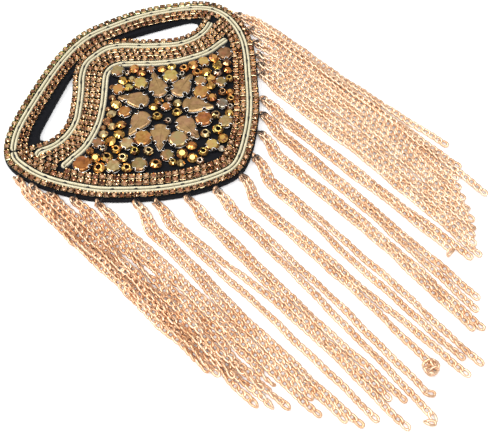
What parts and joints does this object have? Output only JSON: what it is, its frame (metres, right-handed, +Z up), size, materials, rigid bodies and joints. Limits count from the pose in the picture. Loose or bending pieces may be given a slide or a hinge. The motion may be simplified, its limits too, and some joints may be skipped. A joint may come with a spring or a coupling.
{
  "type": "tassel epaulette, one of a pair",
  "caption": "Shield-shaped felt shoulder piece covered with braid, rhinestone rows and set stones, with doubled chain tassels along its lower edge.",
  "frame": {"origin": "on the back of the felt, under the middle of the shield", "axes": "+X across the shield, +Y towards the neck edge, +Z up out of the face; the chains hang towards -Y"},
  "size_m": [0.1628, 0.2585, 0.0061],
  "materials": {
    "felt": "matte wool felt",
    "braid": "soft sheen rayon braid",
    "cups": "polished copper-coloured plating with cut glass",
    "settings": "polished silver-coloured plating",
    "drops": "flat bronze-coloured cut stone",
    "stones": "foiled cut glass in amber and gold",
    "chain": "polished pale rose-gold plating"
  },
  "bodies": {
    "root": {"felt_base": "felt", "edge_braid": "braid", "outer_wave_braid": "braid", "inner_wave_braid": "braid", "edge_row_outer": "cups", "edge_row_middle": "cups", "edge_row_inner": "cups", "cutout_row": "cups", "wave_row_1": "cups", "wave_row_2": "cups", "wave_row_3": "cups", "drop_stone_1": "drops", "drop_stone_2": "drops", "drop_stone_3": "drops", "drop_stone_4": "drops", "drop_stone_5": "drops", "drop_stone_6": "drops", "drop_stone_7": "drops", "drop_setting_1": "settings", "drop_setting_2": "settings", "drop_setting_3": "settings", "drop_setting_4": "settings", "drop_setting_5": "settings", "drop_setting_6": "settings", "drop_setting_7": "settings", "centre_stone": "stones", "round_stones_top": "stones", "round_stones_left": "stones", "round_stones_low": "stones", "round_stones_right": "stones", "round_stones_core": "stones", "chain_01": "chain", "chain_02": "chain", "chain_03": "chain", "chain_04": "chain", "chain_05": "chain", "chain_06": "chain", "chain_07": "chain", "chain_08": "chain", "chain_09": "chain", "chain_10": "chain", "chain_11": "chain", "chain_12": "chain", "chain_13": "chain", "chain_14": "chain", "chain_15": "chain", "chain_16": "chain", "chain_17": "chain", "chain_18": "chain", "chain_19": "chain", "chain_20": "chain"}
  },
  "joints": []
}
